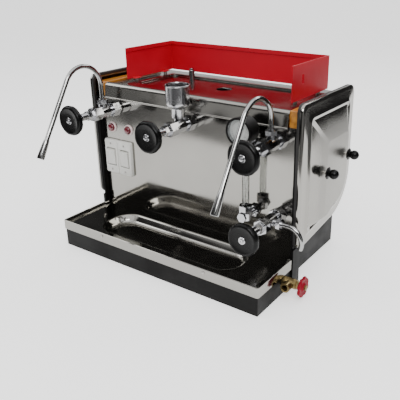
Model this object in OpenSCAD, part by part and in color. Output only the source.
// Counter-top steam coffee machine. A polished steel case stands on a black base and holds a boiler.
// Two steam valves with swivel wands, a filler valve with a funnel cup, a hot-water tap, a level glass
// and a pressure gauge stand on the front panel, over a drip tray with a drain valve.
// X runs to the right, Y to the rear and Z up. The origin is the middle of the base's underside.

/* [Case] */
// Width of the base's skirt under the drip tray
base_w = 440; // [438:1:446]
// Step of the base's walls beside the front posts past the skirt
plinth_step = 4; // [3:0.5:6]
// Depth of the base from front to rear
base_d = 304; // [300:1:312]
// Thickness of the base's steel plate
plate_t = 2; // [1.5:0.1:2.5]
// Height of the base's walls under the case
plinth_h = 70; // [68:1:74]
// Setback of the front panel from the base's front edge
panel_set = 117; // [114:1:119]
// Height of the top plate
top_z = 300; // [298:1:304]
// Thickness of the polished sheet
sheet = 1.2; // [0.8:0.1:1.5]
// Gap between neighbouring sheets and pieces that are fixed together
fit = 0.3; // [0.2:0.05:0.4]

/* [Frame] */
// Thickness of a corner post
post_w = 4; // [3:0.5:4]
// Depth of a corner post
post_d = 20; // [18:1:22]
// Lead of the base's raised part over the front panel
post_lead = 12; // [11:0.5:13]
// Height of the corner posts
post_top = 276; // [274:1:278]
// Height of the side rails
rail_bar_h = 12; // [10:1:12]
// Width of a rear post
rear_post_w = 8; // [6:0.5:8]
// Height of the varnished battens on the side rails
batten_h = 28; // [26:1:34]
// Width of a varnished batten
batten_w = 19.7; // [18:0.1:22]

/* [Drip tray] */
// Overhang of the tray past the base's skirt
tray_over = 2.5; // [2:0.1:4]
// Height of the tray's rim
tray_top = 53; // [52:1:56]
// Height of the tray's outer lip
lip_h = 18; // [15:1:18]
// Depth of the tray's deck below the rim
deck_drop = 6; // [5:0.5:6.5]
// Depth of the well below the deck
well_drop = 13; // [11:0.5:13.5]
// Half width of the well
well_hw = 155; // [150:1:160]
// Corner radius of the well
well_r = 36; // [30:1:38]
// Margin from the base's front edge to the well
well_front = 20; // [16:1:24]
// Margin from the well to the front panel
well_rear = 16; // [14:1:20]

/* [Side panels and cup rail] */
// Height of the side panels' top edge
side_top = 318; // [316:1:322]
// Depth of a side panel's dish
dish = 12; // [10:0.5:14]
// Thickness of the rubber trim behind a side panel
trim_t = 5; // [4:0.5:6]
// Corner radius of a side panel
side_r = 14; // [12:1:18]
// Radius of a side panel's lower rear corner
side_rear_r = 80; // [60:1:84]
// Rise of a side panel's lower edge towards the rear
side_rise = 12; // [6:1:16]
// Distance of the cup rail from the top plate's side edges
rail_inset = 18.4; // [16:0.1:24]
// Depth of the cup rail
rail_d = 137; // [130:1:140]
// Height of the cup rail's walls
rail_h = 60; // [50:1:70]
// Height of the spacers under the cup rail
rail_gap = 4.5; // [4:0.5:6]

/* [Valves] */
// Distance of the steam valves from the base's sides
valve_inset = 34.5; // [32:0.5:37]
// Height of the steam and filler valves
valve_z = 253; // [250:1:254]
// Height of the hot-water tap and of the level glass's lower fitting
tap_z = 120; // [116:1:124]
// Radius of a valve's shank
shank_r = 6.5; // [6:0.1:7]
// Radius of a valve's stem
stem_r = 4; // [3.5:0.1:4.5]
// Radial clearance of turning and sliding fits
run = 0.06; // [0.03:0.01:0.1]
// Reach of the valves' outlets in front of the panel
reach = 26; // [25:0.5:28]
// Diameter of a handwheel knob
knob_d = 55; // [48:1:57]
// Thickness of a handwheel knob's rim
knob_t = 14; // [12:0.5:16]
// Number of finger hollows in a handwheel knob's rim
knob_lobes = 8; // [6:1:10]
// Distance of a knob's front face from the panel
knob_front = 110; // [108:1:114]

/* [Wands and spout] */
// Radius of a steam wand's tube
wand_r = 4.1; // [4:0.1:5]
// Bend radius of a steam wand
wand_bend = 42; // [40:1:44]
// Height of the centre of the left wand's bend
left_bend_z = 303; // [300:1:308]
// Height of the centre of the right wand's bend
right_bend_z = 291; // [289:1:300]
// Length of a wand's straight run
wand_run = 144; // [134:1:150]
// Angle of a wand's bend
wand_turn = 149; // [147:1:151]
// Length of a wand's nozzle
nozzle_l = 34; // [28:1:40]
// Radius of a wand's nozzle at its tip
nozzle_r = 6.6; // [6:0.1:7]
// Radius of the tap's spout
spout_r = 4.5; // [4:0.1:5]
// Bend radius of the tap's spout
spout_bend = 25; // [22:1:30]
// Length of the spout before its bend
spout_run = 35; // [33:1:38]
// Angle by which the spout hooks back past its quarter bend
spout_hook = 24; // [15:1:30]

/* [Filler cup] */
// Outer radius of the funnel cup
cup_r = 20.5; // [18:0.5:22]
// Height of the funnel cup's wall
cup_h = 34; // [28:1:38]
// Wall of the funnel cup
cup_wall = 1.6; // [1.2:0.1:2]

/* [Gauges] */
// Distance between the level glass and the right-hand valves
glass_pitch = 45.5; // [44:0.5:48]
// Distance of the level glass from the front panel
glass_reach = 28; // [27:0.5:32]
// Outer radius of the level glass
glass_r = 6.3; // [6:0.1:6.6]
// Height of the level glass's upper fitting
glass_top_z = 238; // [234:1:242]
// Radius of the pressure gauge's case
gauge_r = 22; // [20:0.5:23]
// Depth of the pressure gauge's case
gauge_d = 28; // [25:1:30]
// Length of the pressure gauge's bottom stem
gauge_stem = 4; // [3:0.5:6]

/* [Switches and lamps] */
// Distance of the switches' outer edge from the base's side
switch_inset = 8; // [7:0.5:12]
// Width of a switch plate
switch_w = 34.6; // [33:0.1:34.8]
// Distance between the two switches
switch_pitch = 35.2; // [35:0.1:37]
// Height of a switch plate
switch_h = 70; // [66:1:74]
// Thickness of a switch plate
switch_t = 7; // [6:0.5:8]
// Height of the middle of the switches
switch_z = 156; // [152:1:160]
// Width of a rocker
rocker_w = 20; // [18:0.5:22]
// Height of a rocker
rocker_h = 36; // [34:1:40]
// Tilt of a rocker at rest
rocker_tilt = 6; // [5:0.5:7]
// Distance of the outer lamp from the base's side
lamp_inset = 28; // [26:1:32]
// Distance between the two lamps
lamp_pitch = 43.5; // [40:0.5:46]
// Height of the lamps
lamp_z = 216; // [213:1:220]
// Radius of a lamp's bezel
lamp_r = 9.7; // [9:0.1:10.5]

/* [Boiler] */
// Radius of the boiler
boiler_r = 80; // [76:1:81]
// Room for the pipes between the steam valves' axes and the boiler's ends
pipe_side = 28; // [26:0.5:31]
// Height of the boiler's axis
boiler_z = 184; // [182:1:186]
// Clearance behind the boiler
boiler_rear = 8; // [7:1:9]
// Thickness of the boiler's wall
boiler_wall = 2; // [1.6:0.1:3]
// Distance of the cradle's saddles from the middle
cradle_x = 115; // [105:1:120]

/* [Drain valve] */
// Setback of the drain valve from the base's front edge
drain_set = 82; // [78:1:84]
// Height of the drain valve
drain_z = 24; // [23.5:0.5:25]
// Radius of the drain pipe
drain_r = 6; // [5.5:0.1:6.5]
// Radius of the outlet's thread
outlet_r = 8.3; // [8:0.1:8.6]
// Length of the outlet's thread
outlet_l = 10; // [9:1:12]
// Radius of the drain handwheel
wheel_r = 18; // [16:0.5:20]

/* [Hidden] */
$fn = 48;

// Places shared by the case's pieces
front_y = -base_d / 2;
rear_y = base_d / 2;
rear_face_y = rear_y - plate_t;
panel_y = front_y + panel_set;
panel_back_y = panel_y + sheet;
skirt_x = base_w / 2 - plate_t;
plinth_w = base_w + 2 * plinth_step;
wall_x = plinth_w / 2 - plate_t;
post_x = wall_x - post_w;
panel_hw = post_x - fit;
top_hw = wall_x - batten_w - fit;
top_w = 2 * top_hw;
rear_hw = top_hw + fit;
rail_hw = top_hw - rail_inset;
step_y = panel_y - post_lead;
post_y = step_y + plate_t;
wing_y = post_y + post_d;
rear_post_y = rear_face_y - post_d;
deck_z = tray_top - deck_drop;
lip_z = tray_top - lip_h;
well_z = deck_z - well_drop;
well_y0 = front_y + well_front;
well_y1 = panel_y - well_rear;
side_x = wall_x + trim_t;
side_face = side_x + dish;

// Places of the boiler, of what stands on it and of what stands on the front panel
valve_x = base_w / 2 - valve_inset;
glass_x = valve_x - glass_pitch;
boiler_hl = valve_x - pipe_side;
boiler_y = rear_face_y - boiler_rear - boiler_r;
boiler_top = boiler_z + boiler_r;
outlet_y = panel_y - reach;
glass_y = panel_y - glass_reach;
pipe_wall = 2;
pipe_r = shank_r + pipe_wall;
pipe_back_y = boiler_y - 22;
shank_l = 20;
glass_shank_r = shank_r - 1;
vent_x = 6;
vent_back = 6;
vent_y = boiler_y + vent_back;
vent_r = 8;
vent_hole_r = 15;
safety_x = -106;
safety_back = 50;
safety_y = boiler_y + safety_back;
safety_r = 6;
safety_seat = boiler_top - 2;
heater_z = boiler_z - 36;
heater_dy = 26;
heater_r = 15;
heater_flange_t = 5;
stud_dz = 8;
stud_r = 2.5;
stud_l = 12;

// Places of the switches, the lamps, the wiring and the drain
switch_edge = base_w / 2 - switch_inset;
switch_x = [switch_w / 2 - switch_edge, switch_w / 2 - switch_edge + switch_pitch];
switch_wall = 1.7;
switch_body_d = 10;
lamp_edge = base_w / 2 - lamp_inset;
lamp_x = [-lamp_edge, lamp_pitch - lamp_edge];
lamp_body_r = lamp_r - 1;
lamp_body_d = 14;
lens_r = lamp_r - 3.2;
block_gap = 22;
block_x = -boiler_hl - block_gap;
block_w = 22;
block_h = 20;
block_y = [boiler_y - heater_dy - 6, boiler_y + heater_dy + 6];
cord_z = plinth_h + 28;
cord_r = 4.5;
drain_y = front_y + drain_set;
drain_x = well_hw - 15;
drain_socket = 6;

// Places of the hand knobs that hold the side panels
hand_front = 36;
hand_rear = 48;
hand_up = 11;
hand_dz = 5;
bar_h = 24;
hand_y = [boiler_y - hand_front, boiler_y + hand_rear];
hand_mid_z = boiler_z + hand_up;
hand_z = [hand_mid_z - hand_dz, hand_mid_z + hand_dz];
hand_r = 3;
ball_r = 8.5;

// Sizes of a valve along its axis, from the panel
nut_l = 8;
tee_r = 11;
tee_l = 20;
boss_r = 7.6;
boss_l = 16;
union_l = 10;
bonnet_l = 20;
packing_l = 12;
gland_l = 14;
gland_lip = 2.5;
nut_flats = 25;
bonnet_flats = 23;
packing_flats = 16;
union_flats = 18;
neck_body_r = 8.5;
bonnet_at = reach + tee_l / 2;
packing_at = bonnet_at + bonnet_l;
stem_at = bonnet_at - 4;

// A rounded rectangle in plan, made of true arcs
module rounded(w, d, r) {
    square([w - 2 * r, d], center = true);
    square([w, d - 2 * r], center = true);
    for (sx = [-1, 1], sy = [-1, 1])
        translate([sx * (w / 2 - r), sy * (d / 2 - r)]) circle(r);
}

// A box by its lowest and highest corners
module span(low, high) {
    translate(low) cube(high - low);
}

// The same box on the right and, mirrored, on the left
module span_pair(low, high) {
    span(low, high);
    mirror([1, 0, 0]) span(low, high);
}

// A cylinder along X, Y or Z from a point
module rod_x(p, l, r, sides = 48) {
    translate(p) rotate([0, 90, 0]) cylinder(h = l, r = r, $fn = sides);
}
module rod_y(p, l, r, sides = 48) {
    translate(p) rotate([-90, 0, 0]) cylinder(h = l, r = r, $fn = sides);
}
module rod_z(p, l, r, sides = 48) {
    translate(p) cylinder(h = l, r = r, $fn = sides);
}

// A quarter bend of tube in the XY plane, from X towards Y about the origin
module quarter(bend, r) {
    rotate_extrude(angle = 90) translate([bend, 0]) circle(r);
}

// A hexagon of a given width across flats
function hex_r(flats) = flats / sqrt(3);

// Base: a folded pan, low under the tray, raised beside the front posts and narrower under the boiler, with
// slots for the tray's rear lip and the hole for the drain pipe
module base_pan() {
    color("#262524") difference() {
        union() {
            span([-base_w / 2, front_y, 0], [base_w / 2, post_y, deck_z - sheet]);
            span([-plinth_w / 2, step_y, 0], [plinth_w / 2, wing_y + plate_t, plinth_h]);
            span([-rear_hw - plate_t, step_y, 0], [rear_hw + plate_t, rear_y, plinth_h]);
        }
        span([-skirt_x, front_y + plate_t, plate_t], [skirt_x, post_y + 1, plinth_h + 1]);
        span([-wall_x, post_y, plate_t], [wall_x, wing_y, plinth_h + 1]);
        span([-rear_hw, post_y, plate_t], [rear_hw, rear_face_y, plinth_h + 1]);
        span_pair([skirt_x - 1, step_y - 2 * fit - sheet, lip_z - fit], [base_w / 2 + 1, step_y, deck_z]);
        rod_x([skirt_x - 1, drain_y, drain_z], plate_t + 2, drain_r + fit);
    }
}

// Four corner posts: the rear ones stand further in, behind the boiler
module frame_posts() {
    color("#1f1e1d") {
        span_pair([post_x, post_y, plate_t], [wall_x, wing_y, post_top]);
        span_pair([rear_hw - rear_post_w, rear_post_y, plate_t], [rear_hw, rear_face_y, post_top]);
    }
}

// Side rails under the battens, and bars with a return to the rear posts, which take the hand knobs' screws
module frame_rails() {
    bar_z0 = hand_mid_z - bar_h / 2;
    bar_z1 = hand_mid_z + bar_h / 2;
    color("#2b2a29") difference() {
        union() {
            span_pair([rear_hw, panel_back_y, post_top - rail_bar_h], [post_x, rear_face_y, post_top]);
            span_pair([post_x, wing_y, bar_z0], [wall_x, rear_face_y, bar_z1]);
            span_pair([rear_hw, rear_post_y, bar_z0], [post_x, rear_face_y, bar_z1]);
        }
        for (i = [0, 1]) rod_x([-wall_x - 1, hand_y[i], hand_z[i]], 2 * wall_x + 2, hand_r + run);
    }
}

// Varnished battens beside the top plate
module side_battens() {
    color("#c98a33")
        span_pair([rear_hw, panel_y, post_top], [wall_x, rear_face_y, post_top + batten_h]);
}

// Outline of the drip tray, drawn in by a margin, and by another at the rear, with notches for the base's raised part
module tray_outline(m, rear) {
    hw = base_w / 2 + tray_over - m;
    y0 = front_y - tray_over + m;
    notch_x = panel_hw - m;
    notch_y = step_y - fit - m;
    y1 = panel_y - fit - rear;
    polygon([[-hw, y0], [hw, y0], [hw, notch_y], [notch_x, notch_y], [notch_x, y1],
        [-notch_x, y1], [-notch_x, notch_y], [-hw, notch_y]]);
}

// Plan of the tray's well, drawn in by a margin
module well_plan(m) {
    translate([0, (well_y0 + well_y1) / 2])
        rounded(2 * (well_hw - m), well_y1 - well_y0 - 2 * m, well_r - m);
}

// Drip tray: rim at the front and sides, deck and a rounded well with its drain hole
module drip_tray() {
    color("#b9b9b8") difference() {
        union() {
            difference() {
                translate([0, 0, lip_z]) linear_extrude(tray_top - lip_z) tray_outline(0, 0);
                translate([0, 0, deck_z]) linear_extrude(deck_drop + 1) tray_outline(sheet, -1);
                translate([0, 0, lip_z - 1]) linear_extrude(deck_z - sheet - lip_z + 1) tray_outline(sheet, sheet);
            }
            translate([0, 0, well_z - sheet]) linear_extrude(well_drop + sheet / 2) well_plan(-sheet);
        }
        translate([0, 0, well_z]) linear_extrude(well_drop + 1) well_plan(0);
        rod_z([drain_x, drain_y, well_z - sheet - 1], sheet + 2, drain_r - pipe_wall);
    }
}

// Dome-head screws in the tray's front lip
screw_x = 117;
module tray_screws() {
    head_h = 1.4;
    head_r = 3.2;
    color("#c4c4c2") for (side = [-1, 1])
        translate([side * screw_x, front_y - tray_over, deck_z]) rotate([90, 0, 0])
            cylinder(h = head_h, r1 = head_r, r2 = head_r - 1);
}

// Front panel, with holes for the valves, gauges, lamps and switches
module front_panel() {
    half_w = rocker_w / 2 + switch_wall + fit;
    half_h = rocker_h / 2 + switch_wall + fit;
    color("#cfcecb") difference() {
        span([-panel_hw, panel_y, lip_z], [panel_hw, panel_back_y, post_top]);
        for (p = [[-valve_x, valve_z], [0, valve_z], [valve_x, valve_z], [valve_x, tap_z]])
            rod_y([p[0], panel_y - 1, p[1]], sheet + 2, shank_r + fit);
        for (z = [tap_z, glass_top_z]) rod_y([glass_x, panel_y - 1, z], sheet + 2, glass_shank_r + fit);
        for (x = lamp_x) rod_y([x, panel_y - 1, lamp_z], sheet + 2, lamp_body_r + fit);
        for (x = switch_x) translate([x, 0, switch_z])
            span([-half_w, panel_y - 1, -half_h], [half_w, panel_back_y + 1, half_h]);
    }
}

// Top plate: a shallow recess, a rolled front edge, a tilted apron with its hem, and a rear flange
bead_r = 8;
bead_set = 7;
bead_rise = 3;
bead_y = panel_y + bead_set;
bead_z = top_z + bead_rise - bead_r;
recess = 4;
recess_r = 12;
recess_side = 24;
recess_front = 40;
recess_rear = 28;
recess_hw = rail_hw - recess_side;
recess_y0 = panel_y + recess_front;
recess_d = rear_face_y - recess_rear - recess_y0;
recess_y = recess_y0 + recess_d / 2;
apron_y = panel_y - 4;
apron_z = post_top - 1;
hem_r = 1.6;
module top_plate() {
    side_flange = 8;
    under_z = top_z - recess - sheet;
    color("#c9c8c6") difference() {
        union() {
            span([-top_hw, bead_y, top_z - sheet], [top_hw, rear_face_y + sheet, top_z]);
            translate([0, recess_y, under_z]) linear_extrude(recess + sheet)
                rounded(2 * recess_hw, recess_d, recess_r);
            rod_x([-top_hw, bead_y, bead_z], top_w, bead_r);
            translate([-top_hw, 0, 0]) rotate([90, 0, 90]) linear_extrude(top_w)
                polygon([[bead_y - bead_r + sheet, bead_z], [bead_y - bead_r, bead_z],
                    [apron_y, apron_z], [apron_y + sheet, apron_z]]);
            rod_x([-top_hw, apron_y + sheet / 2, apron_z], top_w, hem_r);
            span_pair([top_hw - sheet, bead_y, top_z - side_flange],
                [top_hw, rear_face_y, top_z - sheet / 2]);
            span([-top_hw, rear_face_y, post_top + fit], [top_hw, rear_face_y + sheet, top_z]);
        }
        translate([0, recess_y, top_z - recess]) linear_extrude(recess + 1)
            rounded(2 * (recess_hw - sheet), recess_d - 2 * sheet, recess_r - sheet);
        rod_z([vent_x, vent_y, under_z - 1], recess + sheet + 2, vent_hole_r);
        rod_z([safety_x, safety_y, under_z - 1], recess + sheet + 2, safety_r + fit);
    }
}

// Rear panel: wider above the bars, with vent slots and the hole for the cable gland
gland_r = 8;
module rear_panel() {
    slot_h = 3;
    slot_w = 60;
    slot_pitch = 9;
    slot_x = 60;
    slot_up = 30;
    slot_z = boiler_z + slot_up;
    wing_z = hand_mid_z - bar_h / 2;
    color("#bdbcba") difference() {
        union() {
            span([-rear_hw, rear_face_y, plinth_h], [rear_hw, rear_face_y + sheet, post_top]);
            span([fit - wall_x, rear_face_y, wing_z], [wall_x - fit, rear_face_y + sheet, post_top]);
        }
        for (side = [-1, 1], i = [0:4]) translate([side * slot_x, rear_face_y, slot_z + slot_pitch * i])
            span([-slot_w / 2, -1, 0], [slot_w / 2, sheet + 1, slot_h]);
        rod_y([block_x, rear_face_y - 1, cord_z], sheet + 2, gland_r + fit);
    }
}

// Screws that hold the rear panel
module rear_screws() {
    margin = 8;
    head_r = 3;
    head_h = 2;
    color("#c4c4c2") for (side = [-1, 1], z = [plinth_h + margin, hand_mid_z, post_top - margin])
        rod_y([side * (rear_hw - rear_post_w / 2), rear_face_y + sheet, z], head_h, head_r);
}

// Cup rail: three walls with hemmed top edges, a slot in the right-hand wall, and tabs on the spacers
rail_rear = 7;
rail_y1 = rear_face_y - rail_rear;
rail_y0 = rail_y1 - rail_d;
rail_z = top_z + rail_gap;
rail_top = rail_z + rail_h;
tab_l = 18;
tab_w = 11;
spacer_r = 3.5;
tab_front = 22;
tab_rear = 30;
tab_y = [rail_y0 + tab_front, rail_y1 - tab_rear];
rail_slot_y = 34;
rail_slot_z = 26;
rail_slot_w = 7;
rail_slot_h = 16;
module cup_rail() {
    hem_t = 1.2;
    hem_h = 8;
    wall_in = rail_hw - sheet;
    color("#b01820") {
        difference() {
            span_pair([wall_in, rail_y0, rail_z], [rail_hw, rail_y1, rail_top]);
            translate([wall_in - 1, rail_y0 + rail_slot_y, rail_z + rail_slot_z])
                cube([sheet + 2, rail_slot_w, rail_slot_h]);
        }
        span_pair([wall_in - hem_t, rail_y0, rail_top - hem_h], [wall_in, rail_y1 - sheet, rail_top]);
        span([-rail_hw, rail_y1 - sheet, rail_z], [rail_hw, rail_y1, rail_top]);
        span([-wall_in, rail_y1 - sheet - hem_t, rail_top - hem_h], [wall_in, rail_y1 - sheet, rail_top]);
        for (y = tab_y)
            span_pair([rail_hw - tab_w, y - tab_l / 2, rail_z], [wall_in, y + tab_l / 2, rail_z + sheet]);
    }
}

// Spacers under the cup rail's tabs
module rail_spacers() {
    color("#8f8f8d") for (side = [-1, 1], y = tab_y)
        rod_z([side * (rail_hw - tab_w / 2), y, top_z], rail_gap, spacer_r);
}

// Points of an arc about a centre, from one angle to another
function arc(c, r, a0, a1, n = 8) =
    [for (i = [0:n]) c + r * [cos(a0 + (a1 - a0) * i / n), sin(a0 + (a1 - a0) * i / n)]];

// Outline of a side panel in Y and Z, set in at each edge and then drawn in by a margin
side_y0 = step_y;
side_y1 = rear_y - 1;
side_z0 = plinth_h + 1.5;
function side_points(front, rear, top, bottom, m) = concat(
    arc([side_y0 + front + side_r, side_z0 + bottom + side_r], side_r - m, 180, 270),
    arc([side_y1 - rear - side_rear_r, side_z0 + side_rise + bottom + side_rear_r],
        side_rear_r - m, 270, 360, 12),
    arc([side_y1 - rear - side_r, side_top - top - side_r], side_r - m, 0, 90),
    arc([side_y0 + front + side_r, side_top - top - side_r], side_r - m, 90, 180));
module side_slice(m, thick) {
    rotate([90, 0, 90]) linear_extrude(thick) polygon(side_points(0, 0, 0, 0, m));
}

// Pressed form of a side panel, drawn in by a margin: a straight edge and a raised field
edge_h = 8;
field_front = 76;
field_rear = 10;
field_top = 74;
field_bottom = 12;
skin = 0.01;
module side_form(m) {
    translate([side_x, 0, 0]) side_slice(m, edge_h - m);
    hull() {
        translate([side_x + edge_h - m - skin, 0, 0]) side_slice(m, skin);
        translate([side_face - m - skin, 0, 0]) rotate([90, 0, 90]) linear_extrude(skin)
            polygon(side_points(field_front, field_rear, field_top, field_bottom, m));
    }
}

// A right-hand side panel: a thin dish with holes for the hand knobs
module side_panel() {
    color("#c6c4c1") difference() {
        side_form(0);
        translate([-skin, 0, 0]) side_form(sheet);
        for (i = [0, 1]) rod_x([side_x, hand_y[i], hand_z[i]], dish + 1, hand_r + fit);
    }
}
module side_panel_right() {
    side_panel();
}
module side_panel_left() {
    mirror([1, 0, 0]) side_panel();
}

// Black rubber trim between a side panel and the frame
trim_w = 6;
module side_trim() {
    color("#161616") translate([wall_x, 0, 0]) difference() {
        side_slice(0, trim_t);
        translate([-1, 0, 0]) side_slice(trim_w, trim_t + 2);
    }
}
module side_trim_right() {
    side_trim();
}
module side_trim_left() {
    mirror([1, 0, 0]) side_trim();
}

// Hand knob: a collar, a rosette and a ball, with a screw into the bar behind the side panel
rosette_r = 10.5;
rosette_t = 3;
collar_l = 5.5;
collar_r = 3.6;
ball_gap = 0.5;
hand_reach = 4;
module hand_knob(i) {
    seat = side_face + fit;
    rosette_x = seat + collar_l;
    ball_x = rosette_x + rosette_t + ball_gap + ball_r;
    screw_at = post_x - hand_reach;
    color("#141414") translate([0, hand_y[i], hand_z[i]]) {
        rod_x([screw_at, 0, 0], seat + 1 - screw_at, hand_r);
        rod_x([seat, 0, 0], ball_x - seat, collar_r);
        rod_x([rosette_x, 0, 0], rosette_t, rosette_r);
        translate([ball_x, 0, 0]) sphere(ball_r);
    }
}
module panel_knob_right_mid() {
    hand_knob(0);
}
module panel_knob_right_rear() {
    hand_knob(1);
}
module panel_knob_left_mid() {
    mirror([1, 0, 0]) hand_knob(0);
}
module panel_knob_left_rear() {
    mirror([1, 0, 0]) hand_knob(1);
}

// Boiler: a closed drum with sockets for the filler, the level glass and the safety valve
module boiler() {
    socket_y = panel_back_y + fit;
    socket_l = boiler_y - socket_y;
    drum_l = 2 * boiler_hl;
    end_hole_r = shank_r - pipe_wall;
    color("#a5a29c") difference() {
        union() {
            rod_x([-boiler_hl, boiler_y, boiler_z], drum_l, boiler_r, 96);
            rod_y([0, socket_y, valve_z], socket_l, pipe_r);
            for (z = [tap_z, glass_top_z]) rod_y([glass_x, socket_y, z], socket_l, pipe_r);
            rod_z([safety_x, safety_y, boiler_z], safety_seat - boiler_z, pipe_r);
        }
        rod_x([boiler_wall - boiler_hl, boiler_y, boiler_z], drum_l - 2 * boiler_wall,
            boiler_r - boiler_wall, 96);
        rod_y([0, socket_y - 1, valve_z], socket_l, shank_r + run);
        for (z = [tap_z, glass_top_z]) rod_y([glass_x, socket_y - 1, z], socket_l, glass_shank_r + run);
        rod_z([safety_x, safety_y, boiler_z], safety_seat - boiler_z + 1, safety_r - 1);
        rod_z([vent_x, vent_y, boiler_z], boiler_r + 1, vent_r + run);
        for (s = [-1, 1])
            rod_x([-boiler_hl - 1, boiler_y + s * heater_dy, heater_z], boiler_wall + 2, heater_r + run);
        for (p = [[-boiler_hl, valve_z], [boiler_hl, valve_z], [boiler_hl, tap_z]])
            rod_x([p[0] - boiler_wall - 1, pipe_back_y, p[1]], 2 * boiler_wall + 2, end_hole_r);
    }
}

// Two saddles that carry the boiler, each on a foot
module boiler_cradle() {
    saddle_t = 4;
    saddle_hw = 62;
    saddle_drop = 42;
    foot_w = 20;
    color("#3a3938") for (side = [-1, 1]) translate([side * cradle_x, boiler_y, 0]) {
        difference() {
            span([-saddle_t / 2, -saddle_hw, plate_t], [saddle_t / 2, saddle_hw, boiler_z - saddle_drop]);
            rod_x([-saddle_t, 0, boiler_z], 2 * saddle_t, boiler_r + fit, 96);
        }
        span([-foot_w / 2, -saddle_hw, plate_t], [foot_w / 2, saddle_hw, plate_t + saddle_t]);
    }
}

// Immersion heater: flanged plug, bent element and terminal studs
module heater(y) {
    element_r = 4;
    element_l = 1.5 * boiler_hl;
    plug_l = boiler_wall + 4;
    color("#b08a55") translate([-boiler_hl, y, heater_z]) {
        rod_x([-heater_flange_t, 0, 0], heater_flange_t, heater_r + 8);
        rod_x([-1, 0, 0], plug_l + 1, heater_r);
        for (s = [-1, 1]) {
            rod_x([plug_l - 1, 0, s * stud_dz], element_l, element_r);
            rod_x([-heater_flange_t - stud_l, 0, s * stud_dz], stud_l + 1, stud_r);
        }
        translate([plug_l - 1 + element_l, 0, 0]) rotate([90, 0, 0]) rotate([0, 0, -90])
            rotate_extrude(angle = 180) translate([stud_dz, 0]) circle(element_r);
    }
}
module heater_front() {
    heater(boiler_y - heater_dy);
}
module heater_rear() {
    heater(boiler_y + heater_dy);
}

// Safety valve on the boiler, whose cap stands through the top plate
module safety_valve() {
    hex_l = 8;
    flats = 18;
    rise = 14;
    cap_l = 4;
    cap_step = 1.5;
    color("#b9b6ae") translate([safety_x, safety_y, safety_seat]) {
        cylinder(h = hex_l, r = hex_r(flats), $fn = 6);
        cylinder(h = top_z + rise - safety_seat, r = safety_r);
        cylinder(h = top_z + rise + cap_l - safety_seat, r = safety_r - cap_step);
    }
}

// Hexagon plug in the boiler's top, under the hole in the top plate
module vent_plug() {
    depth = 12;
    head_l = 8;
    flats = 20;
    color("#b08a4a") {
        rod_z([vent_x, vent_y, boiler_top - depth], depth + fit + 1, vent_r);
        rod_z([vent_x, vent_y, boiler_top + fit], head_l, hex_r(flats), 6);
    }
}

// Pressure switch on the boiler's right end
module pressure_switch() {
    neck_l = 12;
    stalk_r = 6;
    bell_l = 14;
    bell_r = 17;
    cover_hw = 14;
    cover_top = 30;
    out_y = 38;
    up_z = 20;
    color("#4a4a48") translate([boiler_hl, boiler_y + out_y, boiler_z + up_z]) {
        rod_x([0, 0, 0], neck_l, stalk_r);
        rod_x([neck_l - 1, 0, 0], bell_l, bell_r);
        span([neck_l + 2, -cover_hw, 10], [neck_l + bell_l - 4, cover_hw, cover_top]);
    }
}

// Terminal block on the base, with a row of screw wells
module terminal_block() {
    well_l = 6;
    well_r = 1.5;
    pitch = 5;
    color("#d8d4c6") translate([block_x, 0, plate_t]) difference() {
        span([-block_w / 2, block_y[0], 0], [block_w / 2, block_y[1], block_h]);
        for (i = [1:4]) rod_z([0, block_y[0] + pitch * i, block_h - well_l], well_l + 1, well_r);
    }
}

// A cable from the block upwards, with a quarter bend and a run to a place in front or behind
cable_r = 2.5;
cable_bend = 12;
module riser_cable(x, y, z, end_y) {
    z0 = plate_t + block_h;
    way = end_y > y ? 1 : -1;
    turn_y = y + way * cable_bend;
    rod_z([x, y, z0], z - cable_bend - z0, cable_r);
    translate([x, turn_y, z - cable_bend]) rotate([90, 0, 90]) rotate([0, 0, way > 0 ? 90 : 0])
        quarter(cable_bend, cable_r);
    rod_y([x, min(turn_y, end_y), z], abs(end_y - turn_y), cable_r);
}

// Wiring: to the switches and lamps, between them, to the heaters, and from the gland
gland_nut = 8;
module wiring() {
    z0 = plate_t + block_h;
    front_x = block_x - 7;
    heater_x = block_x + 8;
    stud_z = heater_z - stud_dz - stud_r;
    switch_in = rocker_w / 2 + switch_wall;
    lamp_in = lamp_body_r + fit;
    jumper_y = panel_back_y + switch_body_d / 2;
    color("#5a2020") {
        riser_cable(front_x, boiler_y - 14, switch_z, panel_back_y + switch_body_d);
        riser_cable(front_x, boiler_y + 14, lamp_z, panel_back_y + lamp_body_d);
        riser_cable(block_x, boiler_y, cord_z, rear_face_y - gland_nut - 6);
        for (s = [-1, 1]) rod_z([heater_x, boiler_y + s * heater_dy, z0], stud_z - fit - z0, cable_r);
        rod_x([switch_x[0] + switch_in, jumper_y, switch_z], switch_pitch - 2 * switch_in, cable_r);
        rod_x([lamp_x[0] + lamp_in, jumper_y, lamp_z], lamp_pitch - 2 * lamp_in, cable_r);
    }
}

// Cable gland in the rear panel, with a free bore for a lead
module cable_gland() {
    flats = 22;
    collar = 6;
    cap_l = 8;
    out_y = rear_face_y + sheet;
    color("#191919") translate([block_x, 0, cord_z]) difference() {
        union() {
            rod_y([0, rear_face_y - gland_nut, 0], gland_nut + sheet + 1, gland_r);
            rod_y([0, rear_face_y - gland_nut, 0], gland_nut, hex_r(flats), 6);
            rod_y([0, out_y, 0], collar, hex_r(flats), 6);
            rod_y([0, out_y, 0], collar + cap_l, gland_r);
        }
        rod_y([0, rear_face_y - gland_nut - 1, 0], gland_nut + sheet + collar + cap_l + 2, cord_r);
    }
}

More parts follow.
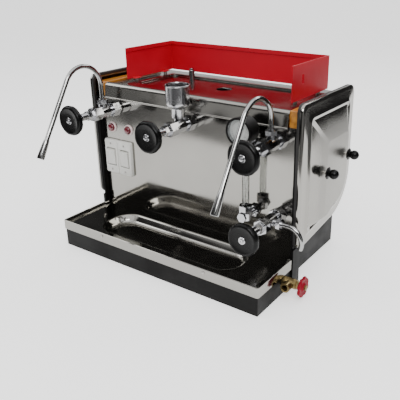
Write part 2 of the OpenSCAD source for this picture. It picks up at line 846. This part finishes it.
// Course of a pipe from a valve's shank straight back, then round to the boiler's right end
module end_course(z, r, over) {
    bend = valve_x - boiler_hl - 6;
    y0 = panel_back_y + fit - over;
    rod_y([valve_x, y0, z], pipe_back_y - bend - y0, r);
    translate([valve_x - bend, pipe_back_y - bend, z]) quarter(bend, r);
    rod_x([boiler_hl - over, pipe_back_y, z], valve_x - bend - boiler_hl + over, r);
}
module end_pipe(z) {
    color("#b5764a") difference() {
        end_course(z, pipe_r, 0);
        end_course(z, shank_r - pipe_wall, 1);
        rod_y([valve_x, panel_back_y - 1, z], shank_l + 2, shank_r + run);
    }
}
module steam_pipe_right() {
    end_pipe(valve_z);
}
module steam_pipe_left() {
    mirror([1, 0, 0]) end_pipe(valve_z);
}
module tap_pipe() {
    end_pipe(tap_z);
}

// Waste pipe from the tray's well to the drain valve
module drain_course(r, over) {
    bend = well_z - sheet - drain_z;
    bend_x = drain_x + bend;
    translate([bend_x, drain_y, well_z - sheet]) rotate([90, 0, 0]) rotate([0, 0, 180]) quarter(bend, r);
    rod_x([bend_x, drain_y, drain_z], base_w / 2 + drain_socket + over - bend_x, r);
}
module drain_pipe() {
    color("#b5764a") difference() {
        drain_course(drain_r, 0);
        drain_course(drain_r - pipe_wall, 1);
    }
}

// A valve's body, drawn along its axis: shank, panel nut, tee with its outlet, bonnet, packing nut and gland
module valve_body(bore_r) {
    difference() {
        union() {
            translate([0, 0, -shank_l]) cylinder(h = shank_l + 1, r = shank_r);
            cylinder(h = nut_l, r = hex_r(nut_flats), $fn = 6);
            cylinder(h = reach, r = neck_body_r);
            translate([0, 0, reach - tee_l / 2]) cylinder(h = tee_l, r = tee_r);
            translate([0, 0, reach]) rotate([-90, 0, 0]) cylinder(h = boss_l, r = boss_r);
            translate([0, 0, bonnet_at]) cylinder(h = bonnet_l, r = hex_r(bonnet_flats), $fn = 6);
            translate([0, 0, packing_at]) cylinder(h = packing_l, r = hex_r(packing_flats), $fn = 6);
            translate([0, 0, packing_at + packing_l - 1])
                cylinder(h = gland_l + 1, r1 = packing_flats / 2 - 0.5, r2 = stem_r + gland_lip);
        }
        translate([0, 0, stem_at - 2]) cylinder(h = bonnet_l + packing_l + gland_l + 8, r = stem_r + run);
        translate([0, 0, reach]) rotate([-90, 0, 0]) translate([0, 0, tee_r - 3])
            cylinder(h = boss_l, r = bore_r);
    }
}

// A union nut on a valve's outlet, drawn along the outlet from the valve's axis
module union_nut(bore_r) {
    collar = 3;
    collar_wall = 1.8;
    difference() {
        translate([0, 0, boss_l]) {
            cylinder(h = union_l - collar, r = hex_r(union_flats), $fn = 6);
            translate([0, 0, union_l - collar]) cylinder(h = collar, r = bore_r + collar_wall);
        }
        translate([0, 0, boss_l - 1]) cylinder(h = union_l + 2, r = bore_r);
    }
}

// A valve in its place, with its outlet turned from straight up by an angle, and its union nut
module valve_at(x, z, turn, bore_r, nut = true) {
    color("#c9c9c8") translate([x, panel_y, z]) rotate([90, 0, 0]) rotate([0, 0, -turn]) {
        valve_body(bore_r);
        if (nut) translate([0, 0, reach]) rotate([-90, 0, 0]) union_nut(bore_r);
    }
}
module valve_left() {
    valve_at(-valve_x, valve_z, 0, wand_r + run);
}
module valve_filler() {
    valve_at(0, valve_z, 0, cup_spigot_r + run, false);
}
module valve_right() {
    valve_at(valve_x, valve_z, 0, wand_r + run);
}
module valve_tap() {
    valve_at(valve_x, tap_z, 90, spout_r + run);
}

// Handwheel knob with its stem and centre screw, drawn along the valve's axis
module knob() {
    rim_r = knob_t / 2;
    back = knob_front - knob_t;
    hub_l = 5;
    hub_r = 8.5;
    hollow_r = 9;
    hollow_deep = 1;
    washer_r = 6;
    washer_t = 1;
    screw_r = 3.5;
    screw_h = 1;
    translate([0, 0, stem_at]) cylinder(h = back + 2 - stem_at, r = stem_r);
    translate([0, 0, back - hub_l]) cylinder(h = hub_l + 2, r = hub_r);
    difference() {
        translate([0, 0, back]) rotate_extrude() {
            square([knob_d / 2 - rim_r, knob_t - 1]);
            translate([knob_d / 2 - rim_r, rim_r]) circle(rim_r);
        }
        for (i = [0:knob_lobes - 1]) rotate([0, 0, 360 / knob_lobes * (i + 0.5)])
            translate([knob_d / 2 + hollow_r - hollow_deep, 0, back - 1])
                cylinder(h = knob_t + 2, r = hollow_r);
    }
    translate([0, 0, knob_front - 2]) cylinder(h = washer_t + 2, r = washer_r);
    translate([0, 0, knob_front]) cylinder(h = washer_t + screw_h, r = screw_r);
}
module knob_at(x, z) {
    color("#151515") translate([x, panel_y, z]) rotate([90, 0, 0]) knob();
}
module knob_left() {
    knob_at(-valve_x, valve_z);
}
module knob_filler() {
    knob_at(0, valve_z);
}
module knob_right() {
    knob_at(valve_x, valve_z);
}
module knob_tap() {
    knob_at(valve_x, tap_z);
}

// Steam wand: riser, bend over the knob, straight run and nozzle. The straight run is a touch thinner than
// the bend, which it starts in
module wand(x, bend_z) {
    riser_z = valve_z + tee_r + fit;
    straight_r = wand_r - 0.05;
    cone_l = 10;
    flare = 0.6;
    tip_r = 2;
    tip_l = 6;
    color("#c4c4c3") translate([x, outlet_y, 0]) {
        rod_z([0, 0, riser_z], bend_z - riser_z, wand_r);
        translate([0, -wand_bend, bend_z]) rotate([90, 0, 90]) {
            rotate_extrude(angle = wand_turn) translate([wand_bend, 0]) circle(wand_r);
            rotate([0, 0, wand_turn]) translate([wand_bend, 0, 0]) rotate([-90, 0, 0]) {
                translate([0, 0, -1]) cylinder(h = wand_run - nozzle_l + 1, r = straight_r);
                translate([0, 0, wand_run - nozzle_l]) rotate_extrude()
                    polygon([[0, 0], [straight_r, 0], [nozzle_r - flare, cone_l], [nozzle_r, nozzle_l],
                        [tip_r, nozzle_l], [tip_r, nozzle_l - tip_l], [0, nozzle_l - tip_l]]);
            }
        }
    }
}
module wand_left() {
    wand(-valve_x, left_bend_z);
}
module wand_right() {
    wand(valve_x, right_bend_z);
}

// Funnel cup with its spigot, on the filler valve's outlet
cup_spigot_r = 4.5;
cup_stem_r = 11.5;
cup_stem_l = 17;
cup_cone_l = 6;
cup_bead_r = 1.4;
cup_hole_r = 3;
cup_spigot_l = 3;
module funnel_cup() {
    z0 = valve_z + boss_l;
    wall_z = z0 + cup_stem_l + cup_cone_l;
    color("#bfbfbe") translate([0, outlet_y, 0]) difference() {
        union() {
            rod_z([0, 0, z0 - cup_spigot_l], cup_spigot_l + 1, cup_spigot_r);
            rod_z([0, 0, z0], cup_stem_l, cup_stem_r);
            translate([0, 0, z0 + cup_stem_l])
                cylinder(h = cup_cone_l, r1 = cup_stem_r + 0.8, r2 = cup_r - 1);
            rod_z([0, 0, wall_z], cup_h, cup_r);
            translate([0, 0, wall_z + cup_h - cup_bead_r + 0.2]) rotate_extrude()
                translate([cup_r - 0.4, 0]) circle(cup_bead_r);
        }
        rod_z([0, 0, wall_z], cup_h + 1, cup_r - cup_wall);
        translate([0, 0, wall_z + 1 - cup_cone_l])
            cylinder(h = cup_cone_l, r1 = cup_hole_r + 1, r2 = cup_r - cup_wall - 1);
        rod_z([0, 0, z0 - cup_spigot_l - 1], cup_stem_l + cup_spigot_l + 3, cup_hole_r);
    }
}

// Tap spout: out to the side, down and hooked back, with its open tip. The straight run is a touch thinner
// than the bend, which it ends in
module spout() {
    x0 = valve_x + tee_r + fit;
    bend_x = valve_x + spout_run;
    straight_r = spout_r - 0.03;
    tip_wall = 1.2;
    tip_l = 4;
    color("#c4c4c3") translate([0, outlet_y, tap_z]) {
        rod_x([x0, 0, 0], bend_x + 1 - x0, straight_r);
        translate([bend_x, 0, -spout_bend]) rotate([90, 0, 0]) rotate([0, 0, -spout_hook]) difference() {
            rotate_extrude(angle = 90 + spout_hook) translate([spout_bend, 0]) circle(spout_r);
            translate([spout_bend, -1, 0]) rotate([-90, 0, 0])
                cylinder(h = tip_l + 1, r = spout_r - tip_wall);
        }
    }
}

// Fittings of the level glass: a shank through the panel, a body, a packing nut and a front plug each
glass_body_h = 7;
glass_seat = 2;
gauge_stem_r = 5;
gauge_socket = 4;
gauge_seat_z = glass_top_z + glass_body_h;
module glass_fitting(z, up) {
    body_r = 9;
    packing = 13;
    plug_l = 14;
    plug_r = 5.5;
    plug_head = 4;
    nut = 7;
    nut_flats = 20;
    packing_flats = 21;
    plug_flats = 15;
    color("#c6c6c4") translate([glass_x, 0, z]) {
        rod_y([0, glass_y, 0], glass_reach + shank_l, glass_shank_r);
        rod_y([0, panel_y - nut, 0], nut, hex_r(nut_flats), 6);
        rod_z([0, glass_y, -glass_body_h], 2 * glass_body_h, body_r);
        rod_z([0, glass_y, up > 0 ? glass_body_h - 1 : 1 - glass_body_h - packing], packing,
            hex_r(packing_flats), 6);
        rod_y([0, glass_y - plug_l, 0], plug_l, plug_r);
        rod_y([0, glass_y - plug_l, 0], plug_head, hex_r(plug_flats), 6);
    }
}
module glass_fittings() {
    glass_l = glass_top_z - tap_z - 2 * glass_seat;
    difference() {
        union() {
            glass_fitting(tap_z, 1);
            glass_fitting(glass_top_z, -1);
        }
        rod_z([glass_x, glass_y, tap_z + glass_seat], glass_l, glass_r + run);
        rod_z([glass_x, glass_y, gauge_seat_z - gauge_socket], gauge_socket + 1, gauge_stem_r + run);
    }
}

// Level glass
module level_glass() {
    wall = 1.8;
    z0 = tap_z + glass_seat + fit;
    l = glass_top_z - glass_seat - fit - z0;
    color("#dfe7e6", 0.6) difference() {
        rod_z([glass_x, glass_y, z0], l, glass_r);
        rod_z([glass_x, glass_y, z0 - 1], l + 2, glass_r - wall);
    }
}

// Pressure gauge: case with its bezel and stem, dial on the movement, needle and lens
gauge_z = gauge_seat_z + gauge_stem + gauge_r;
gauge_front_y = glass_y - gauge_d + 5;
gauge_wall = 2;
dial_y = gauge_front_y + 8;
pin_r = 1;
pin_l = 6;
module gauge_case() {
    stem_l = gauge_socket + gauge_stem + 4;
    bezel_l = 6;
    bezel_lap = 1.4;
    flats = 13;
    color("#141414") difference() {
        union() {
            rod_y([glass_x, gauge_front_y, gauge_z], gauge_d, gauge_r);
            rod_y([glass_x, gauge_front_y, gauge_z], bezel_l, gauge_r + bezel_lap);
            rod_z([glass_x, glass_y, gauge_seat_z + fit - gauge_socket], stem_l, gauge_stem_r);
            rod_z([glass_x, glass_y, gauge_seat_z + fit], gauge_stem - fit + gauge_wall / 2,
                hex_r(flats), 6);
        }
        rod_y([glass_x, gauge_front_y - 1, gauge_z], gauge_d - gauge_wall + 1, gauge_r - gauge_wall);
    }
}
module gauge_dial() {
    dial_l = gauge_front_y + gauge_d - gauge_wall - dial_y;
    color("#e8e8e2") difference() {
        rod_y([glass_x, dial_y, gauge_z], dial_l, gauge_r - gauge_wall - run);
        rod_y([glass_x, dial_y - 1, gauge_z], pin_l + 2, pin_r + run);
    }
}

// Needle: points down to the left at zero, with a counterweight tail on its pin
module gauge_needle() {
    needle_l = gauge_r - gauge_wall - 4;
    zero = 225;
    color("#202020") translate([glass_x, dial_y, gauge_z]) rotate([90, 0, 0]) {
        translate([0, 0, -pin_l]) cylinder(h = pin_l + 2.5, r = pin_r);
        translate([0, 0, 1]) cylinder(h = 1.5, r = 2.4);
        rotate([0, 0, zero]) translate([0, 0, 1.2]) linear_extrude(0.8)
            polygon([[needle_l, 0], [0, 1], [-6, 1.4], [-6, -1.4], [0, -1]]);
    }
}
module gauge_lens() {
    color("#e6eeee", 0.4) rod_y([glass_x, gauge_front_y + 1, gauge_z], 2, gauge_r - gauge_wall - run);
}

// Indicator lamps: pale bezels in the panel, with red lenses
lens_seat = 5;
bezel_t = 3;
module lamp_bezels() {
    color("#d9c4c2") for (x = lamp_x) difference() {
        union() {
            rod_y([x, panel_y - bezel_t, lamp_z], bezel_t, lamp_r);
            rod_y([x, panel_y - 1, lamp_z], lamp_body_d + 1 + sheet, lamp_body_r);
        }
        rod_y([x, panel_y - bezel_t - 1, lamp_z], bezel_t + 1 + lens_seat, lens_r + run);
    }
}
module lamp_lenses() {
    dome = 2;
    color("#b01226") for (x = lamp_x) translate([x, panel_y - bezel_t - 1, lamp_z]) {
        rod_y([0, 0, 0], bezel_t + 1 + lens_seat, lens_r);
        rotate([90, 0, 0]) cylinder(h = dome, r1 = lens_r, r2 = lens_r - dome);
    }
}

// Switch plates with their bodies through the panel, a window for each rocker and screw wells
rocker_y = panel_y - 1;
rocker_pin_r = 1.5;
rocker_pin_l = 1.2;
module switch_plates() {
    gap = 0.5;
    depth = 7;
    margin = 8;
    screw_r = 2.4;
    screw_deep = 2;
    half_w = rocker_w / 2;
    half_h = rocker_h / 2;
    pin_end = half_w + rocker_pin_l + fit / 2;
    color("#e9e9e7") for (x = switch_x) translate([x, 0, switch_z]) difference() {
        union() {
            span([-switch_w / 2, panel_y - switch_t, -switch_h / 2], [switch_w / 2, panel_y, switch_h / 2]);
            span([-half_w - switch_wall, panel_y - 1, -half_h - switch_wall],
                [half_w + switch_wall, panel_back_y + switch_body_d, half_h + switch_wall]);
        }
        span([-half_w - fit, panel_y - switch_t - 1, -half_h - gap],
            [half_w + fit, panel_y + depth, half_h + gap]);
        rod_x([-pin_end, rocker_y, 0], 2 * pin_end, rocker_pin_r + run);
        for (side = [-1, 1])
            rod_y([0, panel_y - switch_t - 1, side * (switch_h / 2 - margin)], screw_deep + 1, screw_r);
    }
}

// A rocker on its pin, with its lower end pressed in at rest
module rocker(x) {
    crown = 8;
    dip = 0.8;
    heel = 2;
    half_h = rocker_h / 2 - 2.5;
    color("#f1f1ee") translate([x, rocker_y, switch_z]) rotate([rocker_tilt, 0, 0]) {
        rod_x([-rocker_w / 2 - rocker_pin_l, 0, 0], rocker_w + 2 * rocker_pin_l, rocker_pin_r);
        translate([-rocker_w / 2, 0, 0]) rotate([90, 0, 90]) linear_extrude(rocker_w)
            polygon([[-crown, -half_h], [dip - crown, 0], [-crown, half_h], [heel, half_h],
                [heel, -half_h]]);
    }
}
module rocker_left() {
    rocker(switch_x[0]);
}
module rocker_right() {
    rocker(switch_x[1]);
}

// Drain valve: inlet socket on the base's side, body, threaded outlet to the front, bonnet and packing nut
drain_axis_x = base_w / 2 + 13;
drain_bonnet_x = base_w / 2 + 20;
drain_stem_r = 3;
outlet_neck = 9.8;
module drain_valve() {
    inlet_x = base_w / 2 + fit;
    inlet_l = 7;
    hex_flats = 16;
    body_r = 8.5;
    neck_out_r = 7;
    gland_flats = 11;
    gland_l = 5;
    bore_wall = 3;
    bonnet_l = 5;
    bonnet_end = drain_bonnet_x + bonnet_l;
    color("#a98a4f") translate([0, drain_y, drain_z]) difference() {
        union() {
            rod_x([inlet_x, 0, 0], inlet_l, hex_r(hex_flats), 6);
            rod_x([inlet_x + inlet_l - 1, 0, 0], drain_bonnet_x - inlet_x - inlet_l + 1, body_r);
            rod_y([drain_axis_x, -outlet_neck - outlet_l, 0], outlet_l, outlet_r);
            rod_y([drain_axis_x, -outlet_neck, 0], outlet_neck, neck_out_r);
            rod_x([drain_bonnet_x - 1, 0, 0], bonnet_end - drain_bonnet_x + 1, hex_r(hex_flats), 6);
            rod_x([bonnet_end - 1, 0, 0], gland_l, hex_r(gland_flats), 6);
        }
        rod_x([base_w / 2 - 1, 0, 0], drain_socket + 1 + fit, drain_r + run);
        rod_x([drain_bonnet_x - 3, 0, 0], 2 * (inlet_l + gland_l), drain_stem_r + run);
        rod_y([drain_axis_x, -outlet_neck - outlet_l - 1, 0], outlet_l + 4, outlet_r - bore_wall);
    }
}

// Drain handwheel with lobes on its rim, its stem and its nut
module drain_wheel() {
    lobes = 8;
    lobe_r = 5;
    wheel_t = 6;
    wheel_gap = 13;
    wheel_x = drain_bonnet_x + wheel_gap;
    hub_r = 6;
    nut_h = 4;
    nut_flats = 9;
    lobe_out = 3;
    color("#b23a46") translate([0, drain_y, drain_z]) {
        difference() {
            rod_x([wheel_x, 0, 0], wheel_t, wheel_r);
            for (i = [0:lobes - 1]) rotate([360 / lobes * i, 0, 0])
                rod_x([wheel_x - 1, wheel_r + lobe_out, 0], wheel_t + 2, lobe_r);
        }
        rod_x([drain_bonnet_x - 2, 0, 0], wheel_x + 4 - drain_bonnet_x, drain_stem_r);
        rod_x([wheel_x - 1, 0, 0], wheel_t + 2, hub_r);
        rod_x([wheel_x + wheel_t, 0, 0], nut_h, hex_r(nut_flats), 6);
    }
}

base_pan();
frame_posts();
frame_rails();
side_battens();
drip_tray();
tray_screws();
front_panel();
top_plate();
rear_panel();
rear_screws();
cup_rail();
rail_spacers();
side_trim_left();
side_trim_right();
side_panel_left();
side_panel_right();
panel_knob_left_mid();
panel_knob_left_rear();
panel_knob_right_mid();
panel_knob_right_rear();
boiler();
boiler_cradle();
heater_front();
heater_rear();
safety_valve();
vent_plug();
pressure_switch();
terminal_block();
wiring();
cable_gland();
steam_pipe_left();
steam_pipe_right();
tap_pipe();
drain_pipe();
valve_left();
valve_filler();
valve_right();
valve_tap();
knob_left();
knob_filler();
knob_right();
knob_tap();
wand_left();
wand_right();
funnel_cup();
spout();
glass_fittings();
level_glass();
gauge_case();
gauge_dial();
gauge_needle();
gauge_lens();
lamp_bezels();
lamp_lenses();
switch_plates();
rocker_left();
rocker_right();
drain_valve();
drain_wheel();
